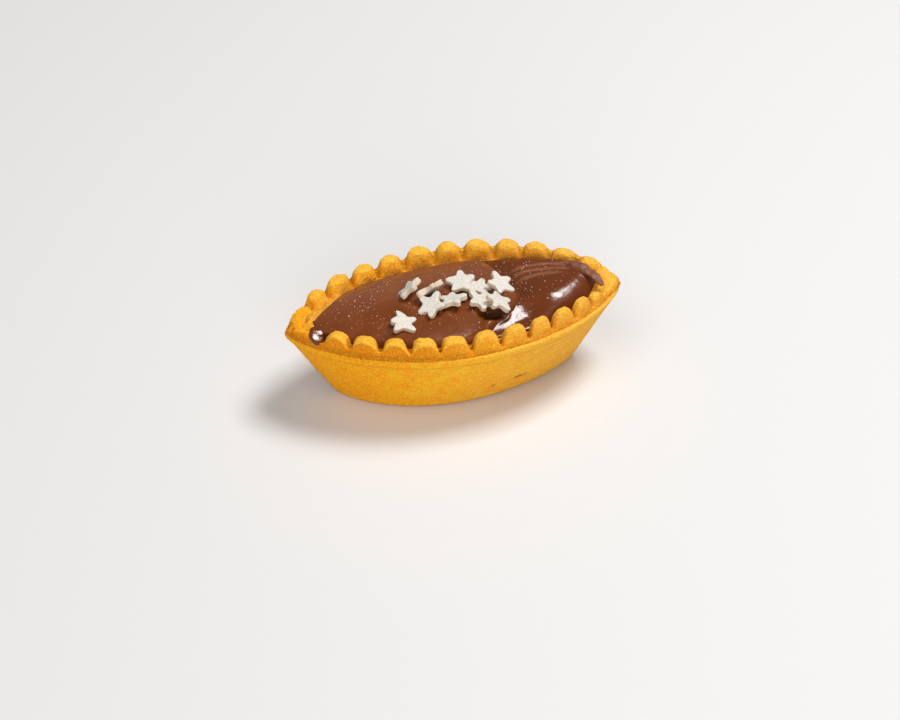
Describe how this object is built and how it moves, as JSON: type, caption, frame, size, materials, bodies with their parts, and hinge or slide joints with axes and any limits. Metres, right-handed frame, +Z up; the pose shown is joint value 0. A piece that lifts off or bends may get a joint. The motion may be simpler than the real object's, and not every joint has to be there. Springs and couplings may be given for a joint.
{
  "type": "chocolate hazelnut tart",
  "caption": "Boat-shaped shortcrust tart with a beaded rim, filled with chocolate hazelnut cream and topped with a cluster of small sugar stars.",
  "frame": {"origin": "middle of the flat base", "axes": "+X along the tart to its right-hand tip, +Y to its back, +Z up"},
  "size_m": [0.085, 0.041, 0.0313],
  "materials": {
    "shortcrust": "matte, fine grainy baked shortcrust",
    "hazelnut_cream": "semi-gloss set chocolate cream",
    "sugar": "matte pressed sugar"
  },
  "bodies": {
    "root": {"crust": "shortcrust", "filling": "hazelnut_cream"}
  },
  "joints": []
}
